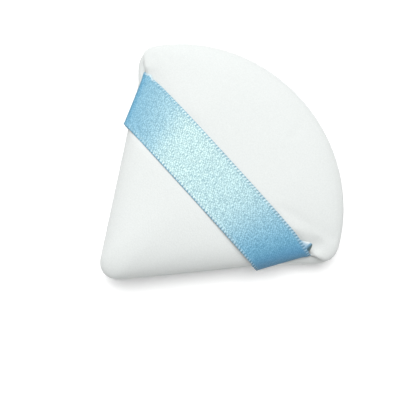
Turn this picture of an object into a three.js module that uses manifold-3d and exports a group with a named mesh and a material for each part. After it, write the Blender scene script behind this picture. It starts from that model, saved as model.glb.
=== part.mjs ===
// Triangular powder puff: two velour panels sewn round a foam core, with a satin ribbon finger strap.
// Millimetres, +Z up. The puff lies on its back panel. The origin is under the middle of its outline,
// the tip points to -Y, and the ribbon crosses from one straight seam to the other along X.
import * as THREE from 'three';
import { mergeVertices } from 'three/addons/utils/BufferGeometryUtils.js';
import Module from 'manifold-3d';

const wasm = await Module();
wasm.setup();

// Outline, seen from above
const SIDE_ANGLE = THREE.MathUtils.degToRad(36.1); // each straight side, from the middle line
const ARC_RADIUS = 43.75;
const ARC_REACH = 79.4; // from the point where the two sides would cross to the top of the arc
const TIP_RADIUS = 5;
const LOBE_RADIUS = 6.8; // the two corners where the sides meet the arc
const LOBE_FLARE = 2; // how far those corners stand out past the lines of the sides
const FLARE_FROM = -4; // along Y, where a side starts to turn out
const FLARE_TO = 14; // along Y, where the flare is full
const LEAST_RADIUS = 0.3; // of a corner on an inset copy of the outline

// Padding
const THICKNESS = 18;
const SEAM_HEIGHT = 9;
const CROWN_SIDE = 3.5; // exponent of the crown in plan: higher keeps the face full nearer to the seam
const CROWN_TOP = 2.2; // exponent of the crown in height: higher is a flatter top
const CROWN_Y = 2.5; // the middle of the crown, on the middle line
const BASE_SINK = 1.5; // how deep the back's crown is pressed flat by what it lies on
const VALLEY_DEPTH = 1.2; // the shallow channel that the strap presses into the face
const VALLEY_WIDTH = 11; // from the channel's middle to where it has faded to a third
const DRAW_IN = 4.2; // how far the ribbon's corners nearer the arc pull the front panel's seam in
const DRAW_IN_UNDER = 7; // from there to where the dent has faded to a third, under the ribbon
const DRAW_IN_PAST = 3.5; // the same on the other side, past the ribbon

// Velour panels and their turned-in edges
const PANEL = 1.5;
const ALLOWANCE = 3;

// Ribbon
const RIBBON_WIDTH = 14.5;
const RIBBON_THICKNESS = 0.4;
const RIBBON_Y = 2.5;
const STRAP_GAP = 1.4; // between the face and the strap at its middle
const STRAP_OUT_TIP = 1.7; // how far outside the seam the strap comes down, at its edge nearer the tip
const STRAP_OUT_ARC = 0.5; // the same at its edge nearer the arc

// Sewing
const THREAD = 0.4;
const STITCH_LENGTH = 8;
const STITCH_DIP = 0.6; // half the length of the bend where a thread dips into its hole
const CLOSING_START = 14; // along the side, from where the two sides would cross
const CLOSING_LENGTH = 21; // the gap that the puff is filled through, then sewn shut by hand
const CLOSING_PITCH = 3.5;
const CLOSING_CENTRE = 2.3; // how far inside the seam the hand stitches are centred
const CLOSING_REACH = 1.3; // from that centre to where they pass through the panels

// Fits
const CLEARANCE = 0.3; // between pieces that touch on the real puff
const CUT_MARGIN = 0.5; // how far a cutting box runs past what it cuts

// Smoothness
const OUTSIDE_RINGS = 6;
const INSIDE_RINGS = 4;
const TIP_STEPS = 3; // half of the tip
const SIDE_STEPS = 9;
const SIDE_CROWDING = 1.7; // above 1, a side's points stand closer together towards its lobe
const LOBE_STEPS = 4;
const ARC_STEPS = 7; // half of the arc
const STRAP_STEPS = 32;
const STRAP_ROWS = 3;
const END_ROWS = 6; // across the ribbon, on a sewn end
const THREAD_SIDES = 4;
const CLOSING_STEPS = 10; // points in one turn of a hand stitch
const SEAM_SAMPLES = 800; // points tried when a place on a seam line is looked up

const sin = Math.sin(SIDE_ANGLE);
const cos = Math.cos(SIDE_ANGLE);
const tan = Math.tan(SIDE_ANGLE);
const TIP_START = TIP_RADIUS * (1 / sin - 1);
const MIDDLE = (TIP_START + ARC_REACH) / 2; // the origin, from where the two sides would cross
const FRONT_RIM = SEAM_HEIGHT + CLEARANCE / 2;
const BACK_RIM = SEAM_HEIGHT - CLEARANCE / 2;
const RIBBON_TIP_EDGE = RIBBON_Y - RIBBON_WIDTH / 2;
const RIBBON_ARC_EDGE = RIBBON_Y + RIBBON_WIDTH / 2;
const STITCH_INSET = PANEL + ALLOWANCE / 2;
const THREAD_LIFT = CLEARANCE / 2 + PANEL + CLEARANCE + THREAD / 2; // from the seam to a thread's middle

// Solids

// Joins rings of points into one closed surface, with an apex point at each end.
function loft(rings, startApex, endApex) {
  const count = rings[0].length;
  const points = [startApex, ...rings.flat(), endApex];
  const faces = [];
  const at = (ring, k) => 1 + ring * count + (k % count);
  const last = rings.length - 1;
  for (let k = 0; k < count; k++) {
    faces.push(0, at(0, k + 1), at(0, k));
    for (let ring = 0; ring < last; ring++) {
      faces.push(at(ring, k), at(ring, k + 1), at(ring + 1, k));
      faces.push(at(ring, k + 1), at(ring + 1, k + 1), at(ring + 1, k));
    }
    faces.push(at(last, k), at(last, k + 1), points.length - 1);
  }
  return facingOut(points, faces);
}

function facingOut(points, faces) {
  let volume = 0;
  for (let f = 0; f < faces.length; f += 3) {
    const [a, b, c] = [0, 1, 2].map((corner) => points[faces[f + corner]]);
    volume += a.dot(new THREE.Vector3().crossVectors(b, c));
  }
  const geometry = new THREE.BufferGeometry().setFromPoints(points);
  geometry.setIndex(volume > 0 ? faces : faces.reverse());
  return geometry;
}

const centreOf = (ring) => ring.reduce((sum, p) => sum.add(p), new THREE.Vector3()).divideScalar(ring.length);

// A thread through a list of points, with flat ends.
function thread(points, radius) {
  const rings = [];
  let across = null;
  points.forEach((point, k) => {
    const before = points[Math.max(k - 1, 0)];
    const after = points[Math.min(k + 1, points.length - 1)];
    const along = after.clone().sub(before).normalize();
    across ??= new THREE.Vector3(-along.y, along.x, 0);
    across = across.clone().addScaledVector(along, -across.dot(along)).normalize();
    const up = new THREE.Vector3().crossVectors(along, across);
    const ring = [];
    for (let side = 0; side < THREAD_SIDES; side++) {
      const turn = (2 * Math.PI * (side + 0.5)) / THREAD_SIDES;
      const offset = across.clone().multiplyScalar(radius * Math.cos(turn));
      ring.push(offset.addScaledVector(up, radius * Math.sin(turn)).add(point));
    }
    rings.push(ring);
  });
  return loft(rings, centreOf(rings[0]), centreOf(rings.at(-1)));
}

function solid(geometry) {
  const bare = geometry.clone();
  bare.deleteAttribute('normal');
  bare.deleteAttribute('uv');
  const merged = mergeVertices(bare, 1e-4);
  const vertProperties = new Float32Array(merged.attributes.position.array);
  const triVerts = new Uint32Array(merged.index.array);
  return new wasm.Manifold(new wasm.Mesh({ numProp: 3, vertProperties, triVerts }));
}

function cut(geometry, cutters) {
  const made = cutters.reduce((body, cutter) => body.subtract(cutter), solid(geometry)).getMesh();
  const left = new THREE.BufferGeometry();
  left.setAttribute('position', new THREE.BufferAttribute(new Float32Array(made.vertProperties), 3));
  left.setIndex(new THREE.BufferAttribute(new Uint32Array(made.triVerts), 1));
  return left;
}

// Outline

// One at no distance, and about a third at a distance of 1. A higher power has a flatter top.
const fade = (distance, power = 2) => Math.exp(-(Math.abs(distance) ** power));
const valley = (y) => VALLEY_DEPTH * fade((y - RIBBON_Y) / VALLEY_WIDTH, 4);
function drawIn(y) {
  const past = y - RIBBON_ARC_EDGE;
  return DRAW_IN * fade(past / (past > 0 ? DRAW_IN_PAST : DRAW_IN_UNDER));
}
const noDrawIn = () => 0;

// The middle of the right-hand lobe, from where the two sides would cross.
function lobeCentre(lobeRadius) {
  const arcCentre = ARC_REACH - ARC_RADIUS;
  const arcSide = arcCentre * cos;
  const fromArc = new THREE.Vector2(-lobeRadius * cos, lobeRadius * sin - arcCentre);
  const reach = arcSide + Math.sqrt(arcSide ** 2 - fromArc.lengthSq() + (ARC_RADIUS - lobeRadius) ** 2);
  return new THREE.Vector2(reach * sin - lobeRadius * cos, reach * cos + lobeRadius * sin);
}

const LOBE_REACH = lobeCentre(LOBE_RADIUS).x + LOBE_RADIUS;
const flare = (y) => 1 + (LOBE_FLARE / LOBE_REACH) * THREE.MathUtils.smoothstep(y, FLARE_FROM, FLARE_TO);

// The right-hand side's distance from the middle line, and the front panel's seam there.
const sideLine = (y) => (y + MIDDLE) * tan * flare(y);
const sideSeam = (y) => sideLine(y) - drawIn(y);

// The outline, moved inwards by inset. Each copy has the same count of points, in step with the others.
function outline(inset, pull) {
  const tipRadius = Math.max(TIP_RADIUS, inset + LEAST_RADIUS);
  const lobeRadius = Math.max(LOBE_RADIUS, inset + LEAST_RADIUS);
  const arcCentre = ARC_REACH - ARC_RADIUS;
  const lobe = lobeCentre(lobeRadius);
  const lobeTurn = Math.atan2(lobe.y - arcCentre, lobe.x);
  const circle = (x, y, radius, from, to, steps) => {
    return Array.from({ length: steps + 1 }, (_, k) => {
      const turn = from + ((to - from) * k) / steps;
      return new THREE.Vector2(x + radius * Math.cos(turn), y + radius * Math.sin(turn));
    });
  };
  const tip = circle(0, tipRadius / sin, tipRadius - inset, -Math.PI / 2, -SIDE_ANGLE, TIP_STEPS);
  const corner = circle(lobe.x, lobe.y, lobeRadius - inset, -SIDE_ANGLE, lobeTurn, LOBE_STEPS);
  const arc = circle(0, arcCentre, ARC_RADIUS - inset, lobeTurn, Math.PI / 2, ARC_STEPS);
  const side = [];
  for (let k = SIDE_STEPS - 1; k > 0; k--) {
    side.push(corner[0].clone().lerp(tip.at(-1), (k / SIDE_STEPS) ** SIDE_CROWDING));
  }
  const right = [...tip, ...side, ...corner, ...arc.slice(1)].map((p) => {
    const y = p.y - MIDDLE;
    return new THREE.Vector2(Math.max(p.x * flare(y) - pull(y), 0), y);
  });
  const left = right.slice(1, -1).reverse().map((p) => new THREE.Vector2(-p.x, p.y));
  return [...right, ...left];
}

const seamRing = (inset, z) => outline(inset, drawIn).map((p) => new THREE.Vector3(p.x, p.y, z));

// Rings of a padded face, from its rim towards its crown. It stops at the height called flat, where something
// presses it level, and leaves out the rings below the height called start.
function domeRings({ count, inset, pull, rim, crown, flat = crown, start = rim, dip = () => 0 }) {
  const angleAt = (z) => Math.asin(((z - rim) / (crown - rim)) ** (CROWN_TOP / 2));
  const end = angleAt(flat);
  const length = flat === crown ? count : count + 1; // a full dome ends in its apex instead
  const steps = Array.from({ length }, (_, k) => (end * k) / count);
  const edge = outline(inset, pull);
  return steps.filter((angle) => angle >= angleAt(start)).map((angle) => {
    const share = Math.cos(angle) ** (2 / CROWN_SIDE);
    const rise = Math.sin(angle) ** (2 / CROWN_TOP);
    return edge.map((p) => {
      const y = CROWN_Y + (p.y - CROWN_Y) * share;
      return new THREE.Vector3(p.x * share, y, rim + (crown - rim - dip(y)) * rise);
    });
  });
}

const apex = (z) => new THREE.Vector3(0, CROWN_Y, z);

// Sewing

const seamLine = (inset) => new THREE.CatmullRomCurve3(seamRing(inset, SEAM_HEIGHT), true, 'centripetal');

// Where a seam line passes a height y on its right-hand side, as a share of its length.
function shareAtSide(line, y) {
  let best = 0;
  let least = Infinity;
  for (let k = 0; k < SEAM_SAMPLES; k++) {
    const p = line.getPointAt(k / SEAM_SAMPLES);
    const miss = Math.abs(p.y - y) + Math.max(0, sideLine(p.y) / 2 - p.x);
    if (miss < least) {
      least = miss;
      best = k / SEAM_SAMPLES;
    }
  }
  return best;
}

const closingY = (distance) => distance * cos - MIDDLE;
const CLOSING_FROM_Y = closingY(CLOSING_START);
const CLOSING_TO_Y = closingY(CLOSING_START + CLOSING_LENGTH);

// Places of the machine stitches' holes, from one end of the filling gap round to the other, each with the
// point halfway to the next.
function stitchHoles() {
  const line = seamLine(STITCH_INSET);
  const from = shareAtSide(line, CLOSING_TO_Y);
  const to = 1 + shareAtSide(line, CLOSING_FROM_Y);
  const count = Math.round(((to - from) * line.getLength()) / STITCH_LENGTH);
  const shareAt = (stitch) => (from + ((to - from) * stitch) / count) % 1;
  return Array.from({ length: count + 1 }, (_, stitch) => ({
    place: line.getPointAt(shareAt(stitch)),
    along: line.getTangentAt(shareAt(stitch)).setZ(0).normalize(),
    halfway: stitch < count ? [line.getPointAt(shareAt(stitch + 0.5))] : [],
  }));
}

// One of the two threads of the machine seam. It lies along its own side of the turned-in edges and dips
// into each hole, towards the other thread. Side is 1 for the front panel's and -1 for the back panel's.
function machineThread(holes, side) {
  const lift = side * THREAD_LIFT;
  const dip = side * (CLEARANCE / 2 + THREAD / 2);
  const points = [];
  for (const { place, along, halfway } of holes) {
    const step = (distance, z) => place.clone().addScaledVector(along, distance).setZ(SEAM_HEIGHT + z);
    points.push(step(-STITCH_DIP, lift), step(0, dip), step(STITCH_DIP, lift));
    points.push(...halfway.map((point) => point.clone().setZ(SEAM_HEIGHT + lift)));
  }
  return thread(points, THREAD / 2);
}

function stitchCutter({ place, along }) {
  const length = 2 * STITCH_DIP + THREAD + 2 * CLEARANCE;
  const height = 2 * PANEL + CLEARANCE + 2 * CUT_MARGIN;
  const box = new THREE.BoxGeometry(length, THREAD + 2 * CLEARANCE, height);
  box.rotateZ(Math.atan2(along.y, along.x));
  box.translate(place.x, place.y, place.z);
  return solid(box);
}

// The hand stitches that shut the filling gap: one thread that winds round both turned-in edges.
function closingPath() {
  const line = seamLine(CLOSING_CENTRE);
  const turns = Math.max(Math.round(CLOSING_LENGTH / CLOSING_PITCH) - 1, 1);
  const pitch = CLOSING_LENGTH / (turns + 1) / line.getLength();
  const from = shareAtSide(line, CLOSING_FROM_Y) + pitch / 2;
  const points = [];
  for (let k = 0; k <= turns * CLOSING_STEPS; k++) {
    const turn = k / CLOSING_STEPS;
    const share = from + turn * pitch;
    const along = line.getTangentAt(share);
    const out = new THREE.Vector3(along.y, -along.x, 0).normalize();
    const swing = Math.PI * (1 + 2 * turn);
    const point = line.getPointAt(share).addScaledVector(out, CLOSING_REACH * Math.cos(swing));
    point.z += THREAD_LIFT * Math.sin(swing);
    points.push(point);
  }
  return points;
}

// Ribbon

const ribbonShare = (y) => (y - RIBBON_TIP_EDGE) / RIBBON_WIDTH;
const strapFoot = (y) => sideSeam(y) + THREE.MathUtils.lerp(STRAP_OUT_TIP, STRAP_OUT_ARC, ribbonShare(y));

// The free span of the ribbon: an arch over the face, from just above one sewn end to just above the other.
function strap() {
  const foot = SEAM_HEIGHT + RIBBON_THICKNESS / 2 + CLEARANCE;
  const crown = THICKNESS - VALLEY_DEPTH + STRAP_GAP;
  const archPoint = (angle, y, out) => {
    const share = Math.sign(Math.cos(angle)) * Math.abs(Math.cos(angle)) ** (2 / CROWN_SIDE);
    const rise = Math.abs(Math.sin(angle)) ** (2 / CROWN_TOP);
    return new THREE.Vector3((strapFoot(y) + out) * share, y, foot + (crown + out - foot) * rise);
  };
  const rings = [];
  for (let k = 0; k <= STRAP_STEPS; k++) {
    const angle = (Math.PI * k) / STRAP_STEPS;
    const rows = Array.from({ length: STRAP_ROWS + 1 }, (_, row) => row / STRAP_ROWS);
    const edges = rows.map((row) => RIBBON_TIP_EDGE + RIBBON_WIDTH * row);
    const under = edges.map((y) => archPoint(angle, y, 0));
    const over = edges.map((y) => archPoint(angle, y, RIBBON_THICKNESS));
    rings.push([...under, ...over.reverse()]);
  }
  return loft(rings, centreOf(rings[0]), centreOf(rings.at(-1)));
}

// A sewn end of the ribbon, lying between the two turned-in edges. Spare widens it all round.
function ribbonEnd(mirror, spare = 0) {
  const inner = (y) => sideSeam(y) - (PANEL + ALLOWANCE - CLEARANCE) / cos - spare;
  const outer = (y) => strapFoot(y) + RIBBON_THICKNESS + spare;
  const rows = Array.from({ length: END_ROWS + 1 }, (_, k) => k / END_ROWS);
  const edges = rows.map((row) => RIBBON_TIP_EDGE - spare + (RIBBON_WIDTH + 2 * spare) * row);
  const corners = [
    ...edges.map((y) => new THREE.Vector2(mirror * outer(y), y)),
    ...edges.reverse().map((y) => new THREE.Vector2(mirror * inner(y), y)),
  ];
  const depth = RIBBON_THICKNESS + 2 * spare;
  const plate = new THREE.ExtrudeGeometry(new THREE.Shape(corners), { depth, bevelEnabled: false });
  return plate.translate(0, 0, SEAM_HEIGHT - depth / 2);
}

// Padded pieces

// One velour panel: its outside, its turned-in edge and its inside.
function panel(outside, rim, turnedIn, inside, outsideCrown, insideCrown) {
  const edge = [seamRing(PANEL + ALLOWANCE, rim), seamRing(PANEL + ALLOWANCE, turnedIn)];
  return loft([...outside.reverse(), ...edge, ...inside], apex(outsideCrown), apex(insideCrown));
}

function frontPanel() {
  const turnedIn = FRONT_RIM + PANEL;
  const crown = THICKNESS - PANEL;
  const shape = { pull: drawIn, dip: valley };
  const outer = { count: OUTSIDE_RINGS, inset: 0, rim: FRONT_RIM, crown: THICKNESS, ...shape };
  const inner = { count: INSIDE_RINGS, inset: PANEL, rim: turnedIn, crown, ...shape };
  const middleDip = valley(CROWN_Y);
  const crowns = [THICKNESS - middleDip, crown - middleDip];
  return panel(domeRings(outer), FRONT_RIM, turnedIn, domeRings(inner), ...crowns);
}

function backPanel() {
  const turnedIn = BACK_RIM - PANEL;
  const crown = PANEL - BASE_SINK;
  const pull = noDrawIn;
  const outer = { count: OUTSIDE_RINGS, inset: 0, rim: BACK_RIM, crown: -BASE_SINK, flat: 0, pull };
  const inner = { count: INSIDE_RINGS, inset: PANEL, rim: turnedIn, crown, flat: PANEL, pull };
  return panel(domeRings(outer), BACK_RIM, turnedIn, domeRings(inner), 0, PANEL);
}

// The foam fills both panels and has a groove for their turned-in edges and the thread on them.
function foam() {
  const inset = PANEL + CLEARANCE;
  const grooveHalf = THREAD_LIFT + THREAD / 2 + CLEARANCE;
  const base = PANEL + CLEARANCE;
  const top = THICKNESS - PANEL - CLEARANCE;
  const grooveTop = SEAM_HEIGHT + grooveHalf;
  const grooveBottom = SEAM_HEIGHT - grooveHalf;
  const count = INSIDE_RINGS;
  const lower = { rim: BACK_RIM - PANEL, crown: base - BASE_SINK, flat: base, start: grooveBottom };
  const upper = { rim: FRONT_RIM + PANEL, crown: top, start: grooveTop, dip: valley };
  const below = domeRings({ count, inset, pull: noDrawIn, ...lower });
  const above = domeRings({ count, inset, pull: drawIn, ...upper });
  const floor = PANEL + ALLOWANCE + CLEARANCE;
  const groove = [seamRing(floor, grooveBottom), seamRing(floor, grooveTop)];
  return loft([...below.reverse(), ...groove, ...above], apex(base), apex(top - valley(CROWN_Y)));
}

// Assembly

const velour = { color: '#f2f5f4', roughness: 0.95, metalness: 0 };
const sponge = { color: '#f3eedd', roughness: 0.9, metalness: 0 };
const satin = { color: '#93cbe4', roughness: 0.38, metalness: 0 };
const cotton = { color: '#f4f6f7', roughness: 0.7, metalness: 0 };

const puff = new THREE.Group();
function add(name, geometry, look) {
  const mesh = new THREE.Mesh(geometry, new THREE.MeshStandardMaterial(look));
  mesh.name = name;
  puff.add(mesh);
}

const holes = stitchHoles();
const closing = closingPath();
const stitchCutters = holes.map(stitchCutter);
const closingCutter = solid(thread(closing, THREAD / 2 + CLEARANCE / Math.cos(Math.PI / THREAD_SIDES)));
const ribbonCutters = [1, -1].map((mirror) => solid(ribbonEnd(mirror, CLEARANCE)));
const panelCutters = [...stitchCutters, closingCutter, ...ribbonCutters];

add('front_panel', cut(frontPanel(), panelCutters), velour);
add('back_panel', cut(backPanel(), panelCutters), velour);
add('foam_core', foam(), sponge);
add('ribbon_strap', strap(), satin);
add('ribbon_end_right', cut(ribbonEnd(1), stitchCutters), satin);
add('ribbon_end_left', cut(ribbonEnd(-1), stitchCutters), satin);
add('needle_thread', machineThread(holes, 1), cotton);
add('bobbin_thread', machineThread(holes, -1), cotton);
add('closing_thread', thread(closing, THREAD / 2), cotton);

export default puff;
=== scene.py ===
"""Looks of a wedge-shaped velour powder puff with a satin ribbon strap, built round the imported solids.

Shapes are worked out in millimetres, in the solids' own frame, and turned into metres when a mesh is made.
The tip points to -Y, the ribbon runs along X and the puff lies on the plane z = 0.
"""
import math

import bpy
import numpy as np
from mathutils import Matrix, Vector, geometry


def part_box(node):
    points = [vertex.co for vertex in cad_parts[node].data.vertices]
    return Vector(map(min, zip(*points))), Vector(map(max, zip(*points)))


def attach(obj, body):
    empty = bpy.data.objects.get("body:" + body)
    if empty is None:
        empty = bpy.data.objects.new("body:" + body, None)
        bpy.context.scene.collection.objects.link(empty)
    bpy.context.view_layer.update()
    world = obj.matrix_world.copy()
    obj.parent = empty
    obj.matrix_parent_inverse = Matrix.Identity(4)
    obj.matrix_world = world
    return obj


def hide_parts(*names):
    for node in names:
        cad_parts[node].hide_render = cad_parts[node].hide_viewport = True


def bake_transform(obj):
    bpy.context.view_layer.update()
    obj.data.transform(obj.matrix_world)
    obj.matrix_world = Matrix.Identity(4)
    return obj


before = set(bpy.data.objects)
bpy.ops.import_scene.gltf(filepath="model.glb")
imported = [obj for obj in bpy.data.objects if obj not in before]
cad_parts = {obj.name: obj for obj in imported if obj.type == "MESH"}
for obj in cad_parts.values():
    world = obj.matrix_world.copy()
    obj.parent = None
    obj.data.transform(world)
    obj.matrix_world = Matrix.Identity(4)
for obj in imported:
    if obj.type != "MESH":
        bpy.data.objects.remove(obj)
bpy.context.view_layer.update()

# Common values
MM = 0.001
TINY = 1e-9
TURN = 2 * math.pi
QUARTER_TURN = math.pi / 2
FLAT_TOP = 4

# Outline seen from above
SIDE_ANGLE = math.radians(36.1)
ARC_RADIUS = 43.75
ARC_REACH = 79.4
TIP_RADIUS = 5
LOBE_RADIUS = 6.8
LOBE_FLARE = 2
FLARE_FROM = -4
FLARE_TO = 14
SIDES_FROM = 20
SIDES_TO = 30

# Counts of points
OUTLINE_POINTS = 400
DIRECTIONS = 768
EDGE_STEP = 2
PROFILE_POINTS = 72
BULGE_POINTS = 16
FOAM_POINTS = 24
ARCH_POINTS = 240
FOLD_POINTS = 12
SELVEDGE_COLUMNS = 5
FIELD_COLUMNS = 29
ROLL_STEPS = 3
FRAY_COLUMNS = 3

# Padding
CENTRE = np.array([0, 2.5])
CROWN_RISE = 0.1
CROWN_SIDE = 3.3
CROWN_TOP = 2.0
BASE_SINK = 1.5
VALLEY_DEPTH = 0.2
VALLEY_WIDTH = 11
VALLEY_LEFT = 3.2
VALLEY_RIGHT = 1.2
VALLEY_FROM = 14
VALLEY_TO = 32
VALLEY_PAST = 10
DIMPLE = np.array([34.0, 12.0])
DIMPLE_RADIUS = 3.8
DIMPLE_DEPTH = 1.9

# Edges drawn in beside the ribbon's ends
DRAW_IN = 3.3
DRAW_IN_UNDER = 7
DRAW_IN_PAST_LEFT = 2.4
DRAW_IN_PAST_RIGHT = 1.2
DRAW_IN_Y = 9.0
DRAW_IN_REACH = 0.84
BACK_DRAW_IN = 0.9
BACK_DRAW_IN_Y = 5.5
BACK_DRAW_IN_REACH = 3.0

# Velour covers and the seam between them
PANEL = 1.5
ALLOWANCE = 3
ALLOWANCE_MIDDLE = 0.5
SEAM_GAP = 0.36
SEAM_INSET = 0.8
SEAM_LIFT = 1.2
FRONT_BULGE = 1.3
BACK_BULGE = 2.2
SUBDIVISIONS = 1

# Flat cut and filling of the covers
SPACING = 1.1
EDGE_CLEARANCE = 0.7
INSIDE_ONLY = 1
MERGE_DISTANCE = 1e-6
SIM_SCALE = 6
SIM_FRAMES = 16
MOVE_CAP = 1.0
CLOTH = {
    "quality": 6,
    "mass": 0.2,
    "tension_stiffness": 25,
    "compression_stiffness": 25,
    "shear_stiffness": 10,
    "bending_stiffness": 1.5,
    "air_damping": 3,
    "use_pressure": True,
    "uniform_pressure_force": 3.0,
}

# Foam
FOAM_GAP = 0.5
FOAM_CLEARANCE = 0.3
FOAM_EDGE_GAP = 1
FOAM_GROOVE = 3.0
GROOVE_BEVEL = 0.4

# Ribbon
RIBBON_WIDTH = 14.5
RIBBON_Y = 2.5
RIBBON_THICKNESS = 0.24
RIBBON_STEP = 0.12
STRAP_INSET = 0.2
FOOT_TIP = 28.45
FOOT_ARC = 35.5
FOLD_RADIUS = 0.5
SHOWN_ABOVE = 1
ARCH_CROWDING = 4

# Ends of the ribbon
KNEE_FROM = 0.41
KNEE_TO = 0.64
# Sag and its power at the edges nearer the tip and the arc, sharpness of the last turn, share of a knee
LEFT_END = {"tip": (6.0, 2.0), "arc": (6.7, 2.0), "turn": 80, "knee": 0.235}
RIGHT_END = {"tip": (4.8, 3.3), "arc": (5.2, 3.0), "turn": 11, "knee": 0}

# Face pressed down by the ribbon
PRESS_GAP = 0.2
PRESS_SLOPE_LEFT = 0.35
PRESS_SLOPE_RIGHT = 0.6
PRESS_SLOPE_PAST = 6.0
PRESS_SOFTNESS = 0.3
SHOULDER = 0.93
SHOULDER_REACH = 0.45

# Edges of the ribbon
# Each pinch: its place along X, its reach and its distance inwards
PINCHES = ((-34.5, 4.0, 0.5), (-33.3, 0.9, -0.6), (34.0, 4.0, 0.7))
PINCH_WIDTH = 3.0
SELVEDGE = 0.5
SELVEDGE_PITCH = 1.0
LOOP_HEIGHT = 0.05
LOOP_OUT = 0.12
ROLL_OUT = 0.1
ROLL_DOWN = 0.08
FLAP_START = 30.3
FLAP_PEAK = 33.4
FLAP_END = 34.6
FLAP_OUT = 2.8
FLAP_DOWN = 0.9
# Each rolled column of the flap, from the inner one out
FLAP_FRAY = (0.3, 0.9, 1)
FLAP_FRAY_FULL = 0.4
FLAP_FRAY_STOP = 0.7
LEFT_FRAY = 0.5
LEFT_FRAY_X = -33.2
LEFT_FRAY_REACH = 1.7

# Finishes of velour, foam and thread
WHITE = (1, 1, 1, 1)
VELOUR = {"Roughness": 0.95, "Sheen Weight": 0.12, "Sheen Roughness": 0.6, "Specular IOR Level": 0.1}
VELOUR_PILE = {"Scale": 2600, "Detail": 3}
VELOUR_TONES = ((0.3, (0.635, 0.66, 0.65, 1)), (0.7, (0.68, 0.705, 0.695, 1)))
VELOUR_BUMP = {"Strength": 0.25, "Distance": 0.0002}
SPONGE = {"Roughness": 0.95}
SPONGE_PORES = {"Scale": 1400}
SPONGE_TONES = ((0, (0.62, 0.55, 0.4, 1)), (0.45, (0.92, 0.87, 0.74, 1)))
SPONGE_BUMP = {"Distance": 0.0003}
COTTON = {"Roughness": 0.7}
COTTON_TWIST = {"Scale": 1500}
COTTON_TONES = ((0, (0.72, 0.75, 0.78, 1)), (1, (0.93, 0.94, 0.95, 1)))
COTTON_BUMP = {"Distance": 0.00005}

# Finish of the satin
SATIN = {"IOR": 2.3, "Specular Tint": (1, 0.88, 0.42, 1)}
SATIN_TONES = ((0, (0.025, 0.245, 0.45, 1)), (1, (0.215, 0.525, 0.75, 1)))
SATIN_BUMP = {"Strength": 0.25, "Distance": 0.0001}
SATIN_FLOATS = {
    "Color1": (0, 0, 0, 1),
    "Color2": WHITE,
    "Mortar": (0.4, 0.4, 0.4, 1),
    "Scale": 1,
    "Mortar Size": 0.03,
    "Brick Width": 0.7,
    "Row Height": 0.24,
}
SATIN_SWAY = {"Scale": 1.1, "Detail": 1}
# Each wave: its turns for a millimetre along the ribbon and across it, and how many turns it sways
SATIN_WAVES = ((1.4, 0.5, 2.2), (-0.68, 1.4, 3.0))
GRAIN_MIDDLE = 0.45
TWILL_SHARE = 0.42
SPECK_SHARE = 0.55
# Painted shade: a deeper, darker blue for the right end, where the ribbon bends down into the seam
SATIN_END_SHADE = (0.02, 0.235, 0.56, 1)
# Painted highlight along the edges, where the rolled edge and its loops catch the light; it also lightens the
# flap
EDGE_HIGHLIGHT_PALE = (0.58, 0.74, 0.86, 1)
# Dark of the selvedge's dashes, and also painted shade on the flap
SELVEDGE_DARK_AND_SHADE = (0.04, 0.17, 0.3, 1)
THREAD_DARK = (0.02, 0.1, 0.16, 1)
FRAYED = (0.88, 0.92, 0.94, 1)
FRAYED_SHARE = 0.85
# Painted highlight on the turned-out flap beside its ridge
FLAP_HIGHLIGHT = 0.3
SELVEDGE_OUT = -0.26
ARC_SELVEDGE = 0.5
TIP_SELVEDGE = 0.4
DASH_BEAT = 0.1
# Where along the loops the painted highlight shows
EDGE_HIGHLIGHT_BEAT = -0.2
DASH_ROUGHNESS = 0.15

# Ramps of the satin
# Each ramp: where it starts and ends, and what it gives there
GLOSS_RAMP = (0, 1, 0.52, 0.39)
CONTRAST_RAMP = (0.6, 0.9, 1, 0.5)
# Painted shade ramp: how far towards the right end the satin is darkened
END_SHADE_RAMP = (0.84, 0.95, 0, 0.4)
# How strong the painted highlight along the edges is, along the ribbon
EDGE_HIGHLIGHT_RAMP = (-0.9, 0, 0.1, 0.45)
DASH_RAMP = (-0.7, 0.5, 0.15, 0.6)
# Painted shade on the flap towards its end, in the crease, together with the satin's duller back
FLAP_SHADE_RAMP = (0.915, 0.945, 0, 0.8)
THREAD_RAMP = (0.932, 0.944, 0, 0.9)

# Places of the sockets in a node that mixes two colours
MIX_SHARE = 0
MIX_BASE = 6
MIX_COLOUR = 7
MIX_RESULT = 2

# Camera, light and floor
AZIMUTH = math.radians(47.9)
ELEVATION = math.radians(86)
TARGET = Vector((2.56, -3.38, 9)) * MM
DISTANCE = 320 * MM
LENS = 100
SENSOR = 36
CLIP_START = 0.01
FILL = 0.28
FILL_LEAN = 0.2
FILL_HORIZON = 0.4
FILL_ZENITH = 1.3
KEY = 3.45
KEY_SPREAD = math.radians(51)
KEY_TILT = math.radians(19)
KEY_FROM = Vector((-0.8, 0.6, 0))
FLOOR_HALF = 20000
FLOOR = {
    "Base Color": (0.98, 0.98, 0.98, 1),
    "Roughness": 0.9,
    "Emission Color": WHITE,
    "Emission Strength": 0.09,
}

# Sizes that follow from the solids and from the values above
front_low, front_high = (np.array(corner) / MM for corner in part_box("front_panel"))
_, back_high = (np.array(corner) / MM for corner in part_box("back_panel"))
_, strap_high = (np.array(corner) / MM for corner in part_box("ribbon_strap"))
SEAM = (front_low[2] + back_high[2]) / 2
CROWN = front_high[2] + CROWN_RISE
STRAP_TOP = strap_high[2] - STRAP_INSET
SIDE_SIN = math.sin(SIDE_ANGLE)
SIDE_COS = math.cos(SIDE_ANGLE)
SIDE_TAN = math.tan(SIDE_ANGLE)
MIDDLE = (TIP_RADIUS * (1 / SIDE_SIN - 1) + ARC_REACH) / 2
ARC_CENTRE = ARC_REACH - ARC_RADIUS
RIBBON_TIP_EDGE = RIBBON_Y - RIBBON_WIDTH / 2
RIBBON_ARC_EDGE = RIBBON_Y + RIBBON_WIDTH / 2
EDGE_ROWS = np.arange(0, DIRECTIONS, EDGE_STEP)
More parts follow.
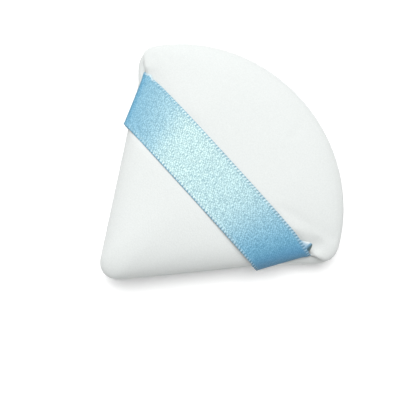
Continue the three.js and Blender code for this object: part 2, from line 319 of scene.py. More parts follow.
EDGE_COUNT = len(EDGE_ROWS)


# Helpers

def smoothstep(x, start, end):
    """A soft step, 0 before its start and 1 after its end."""
    t = np.clip((x - start) / (end - start), 0, 1)
    return t * t * (3 - 2 * t)


def fade(distance, power=2):
    """A soft bump, 1 at no distance. A higher power makes its top flatter."""
    return np.exp(-np.abs(distance) ** power)


def run_along(line):
    """How far along a line each of its points lies."""
    return np.concatenate([[0], np.cumsum(np.linalg.norm(np.diff(line, axis=0), axis=1))])


def ring_faces(start, end):
    """Faces between two closed rings of points, each given by the number of its first point."""
    faces = []
    for k in range(EDGE_COUNT):
        after = (k + 1) % EDGE_COUNT
        faces.append((start + k, start + after, end + after, end + k))
    return faces


def new_object(name, points, faces):
    """A mesh object from points in millimetres."""
    mesh = bpy.data.meshes.new(name)
    mesh.from_pydata((np.asarray(points) * MM).tolist(), [], faces)
    mesh.update()
    made = bpy.data.objects.new(name, mesh)
    bpy.context.scene.collection.objects.link(made)
    return made


# Outline lines

def pull(y, left):
    """How strongly the ribbon's corner nearer the arc draws the seam in on one side, from 0 to 1."""
    past = y - DRAW_IN_Y
    beyond = np.where(left, DRAW_IN_PAST_LEFT, DRAW_IN_PAST_RIGHT)
    return fade(past / np.where(past > 0, beyond, DRAW_IN_UNDER))


def lobe_centre():
    """Middle of the right lobe's rounding, which touches the straight side and the arc.
    It is measured from the place where the two straight sides meet."""
    from_arc = np.array([-LOBE_RADIUS * SIDE_COS, LOBE_RADIUS * SIDE_SIN - ARC_CENTRE])
    arc_side = ARC_CENTRE * SIDE_COS
    reach = arc_side + math.sqrt(arc_side**2 - from_arc @ from_arc + (ARC_RADIUS - LOBE_RADIUS) ** 2)
    return np.array([
        reach * SIDE_SIN - LOBE_RADIUS * SIDE_COS,
        reach * SIDE_COS + LOBE_RADIUS * SIDE_SIN,
    ])


LOBE = lobe_centre()
FLARE_SHARE = LOBE_FLARE / (LOBE[0] + LOBE_RADIUS)


def flare(y):
    """How much wider the outline is than its plain form, which grows towards the lobes."""
    return 1 + FLARE_SHARE * smoothstep(y, FLARE_FROM, FLARE_TO)


def side_line(y):
    """Distance of the straight side from the middle line."""
    return (y + MIDDLE) * SIDE_TAN * flare(y)


def evenly(loop, count):
    """The same closed line with evenly spaced points."""
    closed = np.vstack([loop, loop[:1]])
    run = run_along(closed)
    at = np.arange(count) * run[-1] / count
    return np.stack([np.interp(at, run, closed[:, axis]) for axis in range(2)], 1)


def outline():
    """The puff's outline as a closed line that turns to the left, from the tip round the right lobe."""
    def arc(centre, radius, start, end):
        turns = np.linspace(start, end, OUTLINE_POINTS)
        return np.array(centre) + radius * np.stack([np.cos(turns), np.sin(turns)], 1)

    lobe_turn = math.atan2(LOBE[1] - ARC_CENTRE, LOBE[0])
    side_start = np.array([TIP_RADIUS * SIDE_COS, TIP_RADIUS / SIDE_SIN - TIP_RADIUS * SIDE_SIN])
    side_end = LOBE + LOBE_RADIUS * np.array([SIDE_COS, -SIDE_SIN])
    right = np.vstack([
        arc((0, TIP_RADIUS / SIDE_SIN), TIP_RADIUS, -QUARTER_TURN, -SIDE_ANGLE),
        np.linspace(side_start, side_end, OUTLINE_POINTS)[1:-1],
        arc(LOBE, LOBE_RADIUS, -SIDE_ANGLE, lobe_turn),
        arc((0, ARC_CENTRE), ARC_RADIUS, lobe_turn, QUARTER_TURN)[1:],
    ])
    right[:, 1] -= MIDDLE
    right[:, 0] *= flare(right[:, 1])
    left = right[::-1][1:-1] * (-1, 1)
    return evenly(np.vstack([right, left]), DIRECTIONS)


def inset(loop, distance):
    """The same closed line, moved inwards."""
    along = np.roll(loop, -1, 0) - np.roll(loop, 1, 0)
    along /= np.linalg.norm(along, axis=1)[:, None]
    return loop + distance * np.stack([-along[:, 1], along[:, 0]], 1)


def drawn_in(loop):
    """The front cover's edge, drawn in on both sides at the ribbon's corners nearer the arc."""
    x, y = loop.T
    return np.stack([np.sign(x) * np.maximum(np.abs(x) - DRAW_IN * pull(y, x < 0), 0), y], 1)


def back_drawn_in(loop):
    """The back cover's edge, drawn in a little beside the ribbon's left end."""
    x, y = loop.T
    beside = fade((y - BACK_DRAW_IN_Y) / BACK_DRAW_IN_REACH)
    return np.stack([x + BACK_DRAW_IN * beside * smoothstep(-x, SIDES_FROM, SIDES_TO), y], 1)


edge = outline()
front_edge = drawn_in(edge)
back_edge = back_drawn_in(edge)
seam_edge = inset(front_edge, SEAM_INSET)
at_corner = pull(edge[:, 1], edge[:, 0] < 0) * smoothstep(np.abs(edge[:, 0]), SIDES_FROM, SIDES_TO)
seam_height = SEAM + SEAM_LIFT * at_corner


# Ribbon's way over the face

def foot_line(y):
    """Distance of the ribbon's ends from the middle line."""
    return FOOT_TIP + (FOOT_ARC - FOOT_TIP) * (y - RIBBON_TIP_EDGE) / RIBBON_WIDTH


def knee(share):
    """A line that is level at first and then bends softly into an even slope."""
    span = KNEE_TO - KNEE_FROM
    t = np.clip((share - KNEE_FROM) / span, 0, 1)
    return span * (t**3 - t**4 / 2) + np.maximum(share - KNEE_TO, 0)


def arch_height(share, y, left):
    """The ribbon's height at a share of the way from the middle of the face to its end on one side."""
    end = LEFT_END if left else RIGHT_END
    low = SEAM + SEAM_LIFT * pull(y, left) + FOLD_RADIUS
    rise = STRAP_TOP - low
    across = (y - RIBBON_TIP_EDGE) / RIBBON_WIDTH
    drop, power = (at_tip + (at_arc - at_tip) * across for at_tip, at_arc in zip(end["tip"], end["arc"]))
    sag = (1 - end["knee"]) * share**power + end["knee"] * knee(share) / knee(1)
    fall = drop * sag + (rise - drop) * (1 - np.sqrt(1 - share ** end["turn"]))
    return STRAP_TOP - fall


def arch(x, y):
    """The ribbon's height over a place on the face."""
    share = np.clip(np.abs(x) / foot_line(y), 0, 1)
    return np.where(x < 0, arch_height(share, y, True), arch_height(share, y, False))


# Padded covers

def valley(x, y):
    """How far the ribbon sinks the face, which is more towards the ribbon's ends."""
    ends = np.where(x < 0, VALLEY_LEFT, VALLEY_RIGHT) * smoothstep(np.abs(x), VALLEY_FROM, VALLEY_TO)
    past = fade(np.maximum(y - RIBBON_ARC_EDGE, 0) / VALLEY_PAST)
    ends = ends * smoothstep(y, RIBBON_TIP_EDGE, RIBBON_ARC_EDGE) * past
    return VALLEY_DEPTH * fade((y - RIBBON_Y) / VALLEY_WIDTH, FLAT_TOP) + ends


def level(x, y):
    """No dip anywhere, as on the back."""
    return np.zeros_like(x)


def dome(loop, full, rim, crown, floor, dip, count):
    """Lines from a loop over a crown to its middle, as rows of points, one row for each point of the loop.
    Towards the middle the loop turns into the full one. A dome that goes down is cut flat at its floor."""
    angle = np.linspace(0, QUARTER_TURN, count)
    share = np.cos(angle) ** (2 / CROWN_SIDE)
    rise = np.sin(angle) ** (2 / CROWN_TOP)
    share[-1] = 0
    plan = CENTRE + (full - CENTRE)[:, None, :] * share[None, :, None]
    plan += (loop - full)[:, None, :] * smoothstep(share, DRAW_IN_REACH, 1)[None, :, None]
    height = rim[:, None] + (crown - rim[:, None] - dip(plan[..., 0], plan[..., 1])) * rise
    if crown < SEAM:
        height = np.maximum(height, floor)
    return np.concatenate([plan, height[..., None]], 2)


def bulged(seam, bulge, low, high):
    """Lines that leave the seam level and turn upright at the bulge beside it."""
    angle = np.linspace(0, QUARTER_TURN, BULGE_POINTS)[None, :, None]
    plan = seam[:, None, :] + (bulge - seam)[:, None, :] * np.sin(angle)
    height = low[:, None, None] + (high - low)[:, None, None] * (1 - np.cos(angle))
    return np.concatenate([plan, height], 2)


def evenly_along(lines):
    """The same lines, each with evenly spaced points, and their lengths."""
    share = np.linspace(0, 1, PROFILE_POINTS)
    even = np.empty((len(lines), PROFILE_POINTS, 3))
    lengths = np.empty(len(lines))
    for row, line in enumerate(lines):
        run = run_along(line)
        lengths[row] = run[-1]
        for axis in range(3):
            even[row, :, axis] = np.interp(share * run[-1], run, line[:, axis])
    return even, lengths


def cover_lines(side):
    """Lines over the outside and the inside of a cover, from its seam to its middle. Side is 1 in front."""
    if side > 0:
        bulge_edge, crown, dip = front_edge, CROWN, valley
        rim = seam_height + FRONT_BULGE
    else:
        bulge_edge, crown, dip = back_edge, -BASE_SINK, level
        rim = np.full(DIRECTIONS, SEAM - BACK_BULGE)
    outside = np.concatenate([
        bulged(seam_edge, bulge_edge, seam_height, rim),
        dome(bulge_edge, edge, rim, crown, 0, dip, PROFILE_POINTS)[:, 1:],
    ], 1)
    inner_loop, inner_full = inset(bulge_edge, PANEL), inset(edge, PANEL)
    inner_rim = seam_height + side * (SEAM_GAP / 2 + PANEL)
    inside = dome(inner_loop, inner_full, inner_rim, crown - side * PANEL, PANEL, dip, PROFILE_POINTS)
    return outside, inside


def pressed(points, gap=PRESS_GAP):
    """The same points, kept under the ribbon and rising softly beside it."""
    x, y, z = points.T
    near_y = np.clip(y, RIBBON_TIP_EDGE, RIBBON_ARC_EDGE)
    beside = np.abs(y - near_y)
    foot = foot_line(near_y)
    past = np.maximum(np.abs(x) - foot, 0)
    over = arch(x, near_y)
    shoulder = arch(np.clip(x, -SHOULDER * foot, SHOULDER * foot), near_y)
    slope = np.where(x < 0, PRESS_SLOPE_LEFT, PRESS_SLOPE_RIGHT)
    limit = over + (shoulder - over) * smoothstep(beside, 0, SHOULDER_REACH) - gap
    limit += slope * beside + PRESS_SLOPE_PAST * past
    spare = (limit - z) / PRESS_SOFTNESS
    low = z + PRESS_SOFTNESS * np.minimum(spare, 0) - PRESS_SOFTNESS * np.log1p(np.exp(-np.abs(spare)))
    rim = SEAM + FRONT_BULGE
    return np.column_stack([x, y, np.where(z > rim, np.maximum(low, rim), z)])


def dimpled(points):
    """The same points, with the dip beside the ribbon's right corner."""
    x, y, z = points.T
    dip = DIMPLE_DEPTH * fade(np.hypot(x - DIMPLE[0], y - DIMPLE[1]) / DIMPLE_RADIUS)
    return np.column_stack([x, y, z - dip * smoothstep(z, SEAM + FRONT_BULGE, SEAM + 2 * FRONT_BULGE)])


def sample(lines, row, share):
    """Points on a grid of lines, at fractional rows and at shares of the lines' length from the middle."""
    column = (1 - share) * (lines.shape[1] - 1)
    row0 = np.floor(row).astype(int)
    column0 = np.minimum(np.floor(column).astype(int), lines.shape[1] - 2)
    r, c = (row - row0)[:, None], (column - column0)[:, None]
    row0, row1 = row0 % len(lines), (row0 + 1) % len(lines)
    near = lines[row0, column0] * (1 - r) + lines[row1, column0] * r
    far = lines[row0, column0 + 1] * (1 - r) + lines[row1, column0 + 1] * r
    return near * (1 - c) + far * c


def flat_cut(lengths):
    """A cover's flat cut, filled with even triangles. Gives each point's line, its share of the way out and
    the triangles. The points on the edge come first."""
    away = edge - CENTRE
    turn = np.unwrap(np.arctan2(away[:, 1], away[:, 0]))
    rim_turn = turn[EDGE_ROWS]
    rim = lengths[EDGE_ROWS, None] * np.stack([np.cos(rim_turn), np.sin(rim_turn)], 1)
    reach = lengths.max()
    spots = []
    for k, y in enumerate(np.arange(-reach, reach, SPACING * math.sqrt(3) / 2)):
        x = np.arange(-reach, reach, SPACING) + (k % 2) * SPACING / 2
        spots.append(np.stack([x, np.full_like(x, y)], 1))
    spots = np.vstack(spots)
    angle = np.arctan2(spots[:, 1], spots[:, 0])
    angle = turn[0] + (angle - turn[0]) % TURN
    every_row = np.arange(DIRECTIONS + 1)
    row = np.interp(angle, np.append(turn, turn[0] + TURN), every_row)
    length = np.interp(row, every_row, np.append(lengths, lengths[0]))
    share = np.linalg.norm(spots, axis=1) / length
    inside = share * length < length - SPACING * EDGE_CLEARANCE
    points = np.vstack([rim, spots[inside]])
    loop = [(k, (k + 1) % EDGE_COUNT) for k in range(EDGE_COUNT)]
    made = geometry.delaunay_2d_cdt([Vector(p) for p in points], loop, [], INSIDE_ONLY, MERGE_DISTANCE)
    assert len(made[0]) == len(points)
    row = np.concatenate([EDGE_ROWS, row[inside]])
    share = np.concatenate([np.ones(EDGE_COUNT), share[inside]])
    return row, share, [tuple(face) for face in made[2]]


def blown_up(points, faces):
    """Where the points of a closed bag go when it is filled. Its seam, whose points come first, is held."""
    bag = new_object("bag", points * SIM_SCALE, faces)
    held = bag.vertex_groups.new(name="seam")
    held.add(list(range(EDGE_COUNT)), 1.0, "REPLACE")
    cloth = bag.modifiers.new("cloth", "CLOTH")
    for setting, value in CLOTH.items():
        setattr(cloth.settings, setting, value)
    cloth.settings.vertex_group_mass = held.name
    cloth.settings.effector_weights.gravity = 0
    cloth.collision_settings.use_collision = False
    scene = bpy.context.scene
    for step in range(1, SIM_FRAMES + 1):
        scene.frame_set(step)
    filled = bag.evaluated_get(bpy.context.evaluated_depsgraph_get()).data
    moved = np.array([v.co for v in filled.vertices]) / MM / SIM_SCALE
    scene.frame_set(1)
    bpy.data.objects.remove(bag)
    return moved


def cover(name, side, shape):
    """One velour cover as a closed shell: its outside, its turned-in edge and its inside."""
    outside = shape["outside"] + shape["move"]
    inside = shape["inside"] + shape["move"]
    if side > 0:
        outside = pressed(outside)
    else:
        outside[:, 2] = np.maximum(outside[:, 2], 0)
        inside[:, 2] = np.maximum(inside[:, 2], PANEL)
    outside[:EDGE_COUNT, 2] += side * SEAM_GAP / 2
    height = seam_height[EDGE_ROWS] + side * SEAM_GAP / 2
    turned = []
    for share, lift in ((ALLOWANCE_MIDDLE, 0), (1, 0), (1, PANEL), (ALLOWANCE_MIDDLE, PANEL)):
        plan = inset(seam_edge, ALLOWANCE * share)[EDGE_ROWS]
        turned.append(np.column_stack([plan, height + side * lift]))
    points = np.vstack([outside, inside, *turned])
    size = len(outside)
    faces = list(shape["faces"])
    faces += [tuple(size + k for k in reversed(face)) for face in shape["faces"]]
    starts = [0] + [2 * size + k * EDGE_COUNT for k in range(len(turned))] + [size]
    for start, end in zip(starts, starts[1:]):
        faces += ring_faces(end, start)
    if side < 0:
        faces = [tuple(reversed(face)) for face in faces]
    made = new_object(name, points, faces)
    made.data.shade_smooth()
    rounded = made.modifiers.new("rounded", "SUBSURF")
    rounded.levels = SUBDIVISIONS
    rounded.render_levels = SUBDIVISIONS
    return made


def covers():
    """The front and the back cover, sewn together at the seam and filled as one bag of cloth."""
    sides = {}
    for side in (1, -1):
        outside, inside = cover_lines(side)
        outside, lengths = evenly_along(outside)
        inside, _ = evenly_along(inside)
        row, share, faces = flat_cut(lengths)
        sides[side] = {
            "outside": sample(outside, row, share),
            "inside": sample(inside, row, share),
            "faces": faces,
            "move": 0,
        }
    front, back = sides[1], sides[-1]
    start = dimpled(pressed(front["outside"]))
    front["inside"] += start - front["outside"]
    front["outside"] = start
    size = len(start)
    shift = size - EDGE_COUNT
    joined = np.vstack([start, back["outside"][EDGE_COUNT:]])
    under = [tuple(k if k < EDGE_COUNT else k + shift for k in reversed(face)) for face in back["faces"]]
    moved = blown_up(joined, front["faces"] + under) - joined
    far = np.linalg.norm(moved, axis=1)
    moved *= np.minimum(1, MOVE_CAP / np.maximum(far, TINY))[:, None]
    front["move"] = moved[:size]
    back["move"] = np.vstack([moved[:EDGE_COUNT], moved[size:]])
    return cover("front_cover", 1, front), cover("back_cover", -1, back)


# Ribbon mesh

def side_seam(y, left):
    """Distance of the drawn-in side from the middle line."""
    return side_line(y) - DRAW_IN * pull(y, left)


def ribbon_path(y, left):
    """Half of the ribbon at one place across its width, from the middle of the face into the seam."""
    foot = foot_line(y)
    seam = SEAM + SEAM_LIFT * float(pull(np.array(y), left))
    share = 1 - np.linspace(1, 0, ARCH_POINTS) ** ARCH_CROWDING
    over = np.stack([foot * share, arch_height(share, y, left)], 1)
    turn = np.linspace(0, -QUARTER_TURN, FOLD_POINTS)[1:]
    fold_middle = np.array([foot - FOLD_RADIUS, seam + FOLD_RADIUS])
    fold = fold_middle + FOLD_RADIUS * np.stack([np.cos(turn), np.sin(turn)], 1)
    end = np.array([[side_seam(y, left) - (PANEL + ALLOWANCE) / SIDE_COS, seam]])
    return np.vstack([over, fold, end])


def ribbon_grid(across):
    """The middle of the ribbon's thickness as a grid of points, at given places across it, and its length.
    A second grid has each point's distance along and across the ribbon and its share of the way to an end."""
    lines = []
    for place in across:
        left, right = (ribbon_path(RIBBON_TIP_EDGE + place, side) for side in (True, False))
        line = np.vstack([left[:0:-1] * (-1, 1), right])
        lines.append((place, line, run_along(line)))
    length = max(run[-1] for _, _, run in lines)
    steps = int(length / RIBBON_STEP)
    points = np.empty((steps, len(across), 3))
    weave = np.empty_like(points)
    for column, (place, line, run) in enumerate(lines):
        at = np.linspace(0, run[-1], steps)
        x = np.interp(at, run, line[:, 0])
        z = np.interp(at, run, line[:, 1])
        y = RIBBON_TIP_EDGE + place
        points[:, column] = np.column_stack([x, np.full(steps, y), z])
        weave[:, column] = np.column_stack([at, np.full(steps, place), x / foot_line(y)])
    return points, weave, length


def above_seam(points):
    """Which points are outside the seam."""
    return points[..., 2] > SEAM + SHOWN_ABOVE


def trim_edges(points, weave, across):
    """Pinches the edge nearer the arc and puts the selvedges' small loops on a grid of points."""
    near_arc = smoothstep(across, RIBBON_WIDTH - PINCH_WIDTH, RIBBON_WIDTH)
    for x, reach, inwards in PINCHES:
        points[..., 1] -= inwards * fade((points[..., 0] - x) / reach) * near_arc * above_seam(points)
    edge_share = np.clip(1 - np.minimum(across, RIBBON_WIDTH - across) / SELVEDGE, 0, 1)
    loops = np.abs(np.sin(math.pi * weave[..., 0] / SELVEDGE_PITCH))
    points[..., 2] += LOOP_HEIGHT * np.sin(math.pi * edge_share) * loops
    points[..., 1] += LOOP_OUT * edge_share * np.sign(across - RIBBON_WIDTH / 2) * loops


def flap_share(line):
    """How far the edge nearer the arc is turned out into a flap at its right corner, from 0 to 1."""
    x = line[:, 0]
    rising = np.clip((x - FLAP_START) / (FLAP_PEAK - FLAP_START), 0, 1)
    return rising * (1 - smoothstep(x, FLAP_PEAK, FLAP_END)) * above_seam(line)


def rolled(line, turned_out, across, side):
    """Columns that turn an edge of the ribbon down, and out where it has a flap, and their places across."""
    out = ROLL_OUT + FLAP_OUT * turned_out
    down = ROLL_DOWN + FLAP_DOWN * turned_out
    columns, places = [], []
    for step in range(1, ROLL_STEPS + 1):
        angle = QUARTER_TURN * step / ROLL_STEPS
        column = line.copy()
        column[:, 1] += side * out * math.sin(angle)
        column[:, 2] -= down * (1 - math.cos(angle))
        columns.append(column)
        places.append(across + side * np.hypot(out, down) * step / ROLL_STEPS)
    return columns, places


def fraying(line, turned_out, width):
    """How frayed each point of the ribbon is, from 0 to 1, at its left corner and on its flap."""
    x = line[:, 0]
    left = LEFT_FRAY * fade((x - LEFT_FRAY_X) / LEFT_FRAY_REACH, FLAT_TOP) * above_seam(line)
    flap = smoothstep(turned_out, 0, FLAP_FRAY_FULL) * (x < FLAP_PEAK - FLAP_FRAY_STOP)
    frayed = np.zeros((len(line), width))
    frayed[:, -ROLL_STEPS - FRAY_COLUMNS:] = left[:, None]
    frayed[:, -ROLL_STEPS:] = np.maximum(frayed[:, -ROLL_STEPS:], flap[:, None] * FLAP_FRAY)
    return frayed


def slab_faces(steps, width):
    """Faces of a closed slab between two grids of points, its top and its bottom."""
    def at(layer, step, column):
        return (layer * steps + step) * width + column

    def rim(start, end, turn):
        return tuple([at(0, *start), at(1, *start), at(1, *end), at(0, *end)][::turn])

    faces = []
    for step in range(steps - 1):
        for column in range(width - 1):
            quad = [(step, column), (step + 1, column), (step + 1, column + 1), (step, column + 1)]
            faces.append(tuple(at(0, *spot) for spot in quad))
            faces.append(tuple(at(1, *spot) for spot in reversed(quad)))
        for column, turn in ((0, 1), (width - 1, -1)):
            faces.append(rim((step, column), (step + 1, column), turn))
    for column in range(width - 1):
        for step, turn in ((0, -1), (steps - 1, 1)):
            faces.append(rim((step, column), (step, column + 1), turn))
    return faces


def ribbon():
    """The ribbon, with its places in the weave and its fraying for the satin, and its length."""
    across = np.concatenate([
        np.linspace(0, SELVEDGE, SELVEDGE_COLUMNS)[:-1],
        np.linspace(SELVEDGE, RIBBON_WIDTH - SELVEDGE, FIELD_COLUMNS),
        np.linspace(RIBBON_WIDTH - SELVEDGE, RIBBON_WIDTH, SELVEDGE_COLUMNS)[1:],
    ])
    inner, inner_weave, length = ribbon_grid(across)
    trim_edges(inner, inner_weave, across)
    tip_line, arc_line = inner[:, 0], inner[:, -1]
    turned_out = flap_share(arc_line)
    tip_columns, tip_places = rolled(tip_line, np.zeros(len(inner)), 0, -1)
    arc_columns, arc_places = rolled(arc_line, turned_out, RIBBON_WIDTH, 1)

    def weave_beside(column, places):
        along, to_end = inner_weave[:, column, 0], inner_weave[:, column, 2]
        return [np.column_stack([along, place, to_end]) for place in places]

    points = np.stack([*tip_columns[::-1], *inner.transpose(1, 0, 2), *arc_columns], 1)
    weave = np.stack([
        *weave_beside(0, tip_places[::-1]),
        *inner_weave.transpose(1, 0, 2),
        *weave_beside(-1, arc_places),
    ], 1)
    steps, width, _ = points.shape
    out = np.cross(np.gradient(points, axis=0), np.gradient(points, axis=1))
    out /= np.linalg.norm(out, axis=2)[..., None]
    top = points + out * RIBBON_THICKNESS / 2
    bottom = points - out * RIBBON_THICKNESS / 2
    layers = np.vstack([top.reshape(-1, 3), bottom.reshape(-1, 3)])
    made = new_object("ribbon", layers, slab_faces(steps, width))
    made.data.shade_smooth()
    for name, kind, field, values in (
        ("weave", "FLOAT_VECTOR", "vector", weave),
        ("frayed", "FLOAT", "value", fraying(arc_line, turned_out, width)),
    ):
        both_layers = np.stack([values, values]).astype(np.float32)
        made.data.attributes.new(name, kind, "POINT").data.foreach_set(field, both_layers.ravel())
    return made, length


# Foam pad

def foam():
    """The foam pad inside the covers, with a groove round it for their turned-in edges."""
    inner = PANEL + FOAM_GAP
    flat = np.full(EDGE_COUNT, SEAM)
    full = inset(edge, inner)[EDGE_ROWS]
    loop = inset(front_edge, inner)[EDGE_ROWS]
    top = dome(loop, full, flat + FOAM_GROOVE, CROWN - inner, 0, valley, FOAM_POINTS)
    base = dome(full, full, flat - FOAM_GROOVE, inner - BASE_SINK, inner, level, FOAM_POINTS)
    under = dimpled(pressed(top.reshape(-1, 3), PRESS_GAP + inner + FOAM_CLEARANCE)).reshape(top.shape)
    top[..., 2] = np.maximum(under[..., 2], SEAM + FOAM_GROOVE)
    bottom = inset(seam_edge, ALLOWANCE + FOAM_EDGE_GAP)[EDGE_ROWS]
    last = FOAM_POINTS - 1
    rings = [base[:, k] for k in reversed(range(last))]
    rings.append(np.column_stack([bottom, flat - FOAM_GROOVE + GROOVE_BEVEL]))
    rings.append(np.column_stack([bottom, flat + FOAM_GROOVE - GROOVE_BEVEL]))
    rings += [top[:, k] for k in range(last)]
    points = np.vstack([*rings, base[:1, -1], top[:1, -1]])
    base_middle, top_middle = len(points) - 2, len(points) - 1
    starts = [ring * EDGE_COUNT for ring in range(len(rings))]
    faces = []
    for start, end in zip(starts, starts[1:]):
        faces += ring_faces(start, end)
    for k in range(EDGE_COUNT):
        after = (k + 1) % EDGE_COUNT
        faces.append((base_middle, after, k))
        faces.append((top_middle, starts[-1] + k, starts[-1] + after))
    made = new_object("foam_pad", points, faces)
    made.data.shade_smooth()
    return made


# Materials

class Graph:
    """A node tree, with short ways to add nodes to it."""

    def __init__(self, tree):
        self.nodes = tree.nodes
        self.links = tree.links

    def feed(self, node, inputs):
        """Gives a node's sockets their values, or links them to other nodes' sockets."""
        for socket, value in inputs.items():
            if isinstance(value, bpy.types.NodeSocket):
                self.links.new(value, node.inputs[socket])
            else:
                node.inputs[socket].default_value = value

    def add(self, kind, inputs, **options):
        """A new node."""
        node = self.nodes.new(kind)
        for option, value in options.items():
            setattr(node, option, value)
        self.feed(node, inputs)
        return node

    def work(self, operation, *values):
        """A sum or other operation on numbers."""
        return self.add("ShaderNodeMath", dict(enumerate(values)), operation=operation).outputs["Value"]

    def ramp(self, value, low, high, at_low, at_high):
        """A number that goes evenly from one value to another while the given one goes from low to high."""
        limits = {"From Min": low, "From Max": high, "To Min": at_low, "To Max": at_high}
        return self.add("ShaderNodeMapRange", {"Value": value, **limits}).outputs["Result"]

    def between(self, value, low, high):
        """1 where a number is between two limits and 0 elsewhere."""
        above = self.work("GREATER_THAN", value, low)
        below = self.work("LESS_THAN", value, high)
        return self.work("MULTIPLY", above, below)

    def lay(self, share, base, colour):
        """A colour laid over another one."""
        inputs = {MIX_SHARE: share, MIX_BASE: base, MIX_COLOUR: colour}
        return self.add("ShaderNodeMix", inputs, data_type="RGBA").outputs[MIX_RESULT]

    def tone(self, value, tones):
        """A colour that goes with a number, from one tone's place to the other's."""
        node = self.add("ShaderNodeValToRGB", {"Fac": value})
        for stop, (place, colour) in zip(node.color_ramp.elements, tones):
            stop.position = place
            stop.color = colour
        return node.outputs["Color"]

    def relief(self, height, bump):
        """A fine bump that goes with a number."""
        return self.add("ShaderNodeBump", {"Height": height, **bump}).outputs["Normal"]

    def attribute(self, name, output):
        """A value that the mesh carries."""
        return self.add("ShaderNodeAttribute", {}, attribute_name=name).outputs[output]


def material(name, finish):
    """A new material with its graph and its shader."""
    made = bpy.data.materials.new(name)
    made.use_nodes = True
    graph = Graph(made.node_tree)
    shader = graph.nodes["Principled BSDF"]
    graph.feed(shader, finish)
    return made, graph, shader


def patterned(name, finish, kind, output, pattern, tones, bump, **options):
    """A material whose tone and fine bump both go with one pattern, laid out in the object's own space."""
    made, graph, shader = material(name, finish)
    place = graph.add("ShaderNodeTexCoord", {}).outputs["Object"]
    value = graph.add(kind, {"Vector": place, **pattern}, **options).outputs[output]
    graph.feed(shader, {"Base Color": graph.tone(value, tones), "Normal": graph.relief(value, bump)})
    return made


def velour():
    """White velour with a short pile."""
    pile = VELOUR_PILE, VELOUR_TONES, VELOUR_BUMP
    return patterned("velour", VELOUR, "ShaderNodeTexNoise", "Fac", *pile)


def sponge():
    """Yellowish foam with fine pores."""
    pores = SPONGE_PORES, SPONGE_TONES, SPONGE_BUMP
    return patterned("sponge", SPONGE, "ShaderNodeTexVoronoi", "Distance", *pores)


def cotton():
    """White twisted thread."""
    twist = COTTON_TWIST, COTTON_TONES, COTTON_BUMP
    return patterned("cotton", COTTON, "ShaderNodeTexWave", "Fac", *twist, bands_direction="DIAGONAL")


def satin():
    """Blue satin: an uneven twill, dashed selvedges with painted highlights, frayed corners, painted shade on
    the flap and painted shade at the right end.
    """
    made, graph, shader = material("satin", SATIN)
    work, ramp, lay = graph.work, graph.ramp, graph.lay
    weave = graph.attribute("weave", "Vector")
    split = graph.add("ShaderNodeSeparateXYZ", {"Vector": weave})
    along, across, to_end = (split.outputs[axis] for axis in "XYZ")
    from_arc = work("SUBTRACT", RIBBON_WIDTH, across)

    swapped = graph.add("ShaderNodeCombineXYZ", {"X": across, "Y": along}).outputs["Vector"]
    floats = graph.add("ShaderNodeTexBrick", {"Vector": swapped, **SATIN_FLOATS}).outputs["Color"]
    sway = graph.add("ShaderNodeTexNoise", {"Vector": weave, **SATIN_SWAY}).outputs["Fac"]
    waves = []
    for along_turns, across_turns, sway_turns in SATIN_WAVES:
        along_phase = work("MULTIPLY", along, TURN * along_turns)
        across_phase = work("MULTIPLY", across, TURN * across_turns)
        shift = work("MULTIPLY", sway, TURN * sway_turns)
        waves.append(work("SINE", work("ADD", work("ADD", along_phase, across_phase), shift)))
    twill = work("MULTIPLY", work("ADD", *waves), TWILL_SHARE)
    speck = work("MULTIPLY", work("SUBTRACT", floats, GRAIN_MIDDLE), SPECK_SHARE)
    contrast = ramp(work("ABSOLUTE", to_end), *CONTRAST_RAMP)
    grain = work("ADD", work("MULTIPLY", work("ADD", twill, speck), contrast), GRAIN_MIDDLE)

    at_arc = graph.between(from_arc, SELVEDGE_OUT, ARC_SELVEDGE)
    at_tip = graph.between(across, SELVEDGE_OUT, TIP_SELVEDGE)
    selvedge = work("MAXIMUM", at_arc, at_tip)
    beat = work("SINE", work("MULTIPLY", along, TURN / SELVEDGE_PITCH))
    dash = work("MULTIPLY", selvedge, work("GREATER_THAN", beat, DASH_BEAT))
    # Painted highlight on the selvedge loops, between the dark dashes
    edge_highlight = work("MULTIPLY", selvedge, work("LESS_THAN", beat, EDGE_HIGHLIGHT_BEAT))
    flap = work("LESS_THAN", from_arc, SELVEDGE_OUT)

    # Painted shade at the right end, where the ribbon bends down into the seam
    colour = lay(ramp(to_end, *END_SHADE_RAMP), graph.tone(grain, SATIN_TONES), SATIN_END_SHADE)
    # Painted highlight along the edges
    colour = lay(work("MULTIPLY", edge_highlight, ramp(to_end, *EDGE_HIGHLIGHT_RAMP)), colour, EDGE_HIGHLIGHT_PALE)
    colour = lay(work("MULTIPLY", dash, ramp(to_end, *DASH_RAMP)), colour, SELVEDGE_DARK_AND_SHADE)
    # Painted highlight on the flap beside its ridge
    colour = lay(work("MULTIPLY", flap, FLAP_HIGHLIGHT), colour, EDGE_HIGHLIGHT_PALE)
    # Painted shade on the turned-out flap, which lies in the crease, together with the satin's duller back
    colour = lay(work("MULTIPLY", flap, ramp(to_end, *FLAP_SHADE_RAMP)), colour, SELVEDGE_DARK_AND_SHADE)
    colour = lay(work("MULTIPLY", flap, ramp(to_end, *THREAD_RAMP)), colour, THREAD_DARK)
    colour = lay(work("MULTIPLY", graph.attribute("frayed", "Fac"), FRAYED_SHARE), colour, FRAYED)
    graph.feed(shader, {
        "Base Color": colour,
        "Roughness": work("ADD", ramp(grain, *GLOSS_RAMP), work("MULTIPLY", dash, DASH_ROUGHNESS)),
        "Normal": graph.relief(floats, SATIN_BUMP),
    })
    return made


# Camera, light and floor in the scene

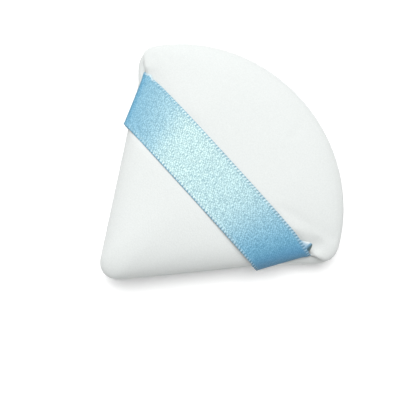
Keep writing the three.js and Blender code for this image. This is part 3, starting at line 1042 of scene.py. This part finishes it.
def camera():
    """The camera, looking almost straight down."""
    lens = bpy.data.cameras.new("camera")
    lens.lens = LENS
    lens.sensor_width = SENSOR
    lens.clip_start = CLIP_START
    level_part = math.cos(ELEVATION)
    backward = Vector((math.sin(AZIMUTH) * level_part, -math.cos(AZIMUTH) * level_part, math.sin(ELEVATION)))
    made = bpy.data.objects.new("camera", lens)
    made.location = TARGET + backward * DISTANCE
    made.rotation_euler = (-backward).to_track_quat("-Z", "Y").to_euler()
    bpy.context.scene.collection.objects.link(made)
    bpy.context.scene.camera = made


def fill_light():
    """White light from all round, stronger from overhead and from the key light's side."""
    world = bpy.data.worlds.new("studio")
    world.use_nodes = True
    graph = Graph(world.node_tree)
    towards = graph.add("ShaderNodeTexCoord", {}).outputs["Generated"]
    product = graph.add("ShaderNodeVectorMath", {0: towards, 1: KEY_FROM}, operation="DOT_PRODUCT")
    lean = product.outputs["Value"]
    height = graph.add("ShaderNodeSeparateXYZ", {"Vector": towards}).outputs["Z"]
    sideways = graph.ramp(lean, -1, 1, FILL * (1 - FILL_LEAN), FILL * (1 + FILL_LEAN))
    overhead = graph.ramp(height, 0, 1, FILL_HORIZON, FILL_ZENITH)
    strength = graph.work("MULTIPLY", sideways, overhead)
    graph.feed(graph.nodes["Background"], {"Color": WHITE, "Strength": strength})
    bpy.context.scene.world = world


def key_light():
    """A wide soft light from above, tilted to one side."""
    light = bpy.data.lights.new("key", "SUN")
    light.energy = KEY
    light.angle = KEY_SPREAD
    made = bpy.data.objects.new("key", light)
    towards = KEY_FROM.normalized() * math.sin(KEY_TILT) + Vector((0, 0, math.cos(KEY_TILT)))
    made.rotation_euler = towards.to_track_quat("Z", "Y").to_euler()
    bpy.context.scene.collection.objects.link(made)


def white_floor():
    """The white floor that the puff lies on."""
    corners = [(x * FLOOR_HALF, y * FLOOR_HALF, 0) for x, y in ((-1, -1), (1, -1), (1, 1), (-1, 1))]
    floor = new_object("floor", corners, [(0, 1, 2, 3)])
    floor.data.materials.append(material("floor", FLOOR)[0])
    floor.visible_glossy = False


# Assembly

bpy.context.scene.view_settings.view_transform = "Standard"
camera()
fill_light()
key_light()
white_floor()

white = velour()
for piece, node in zip(covers(), ("front_panel", "back_panel")):
    piece.data.materials.append(white)
    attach(piece, "puff")
    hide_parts(node)

pad = foam()
pad.data.materials.append(sponge())
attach(pad, "puff")
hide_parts("foam_core")

band, band_length = ribbon()
band.data.materials.append(satin())
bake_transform(band)
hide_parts("ribbon_strap", "ribbon_end_left", "ribbon_end_right")

yarn = cotton()
for name in ("needle_thread", "bobbin_thread", "closing_thread"):
    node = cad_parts[name]
    node.data.materials.clear()
    node.data.materials.append(yarn)

bpy.context.view_layer.update()
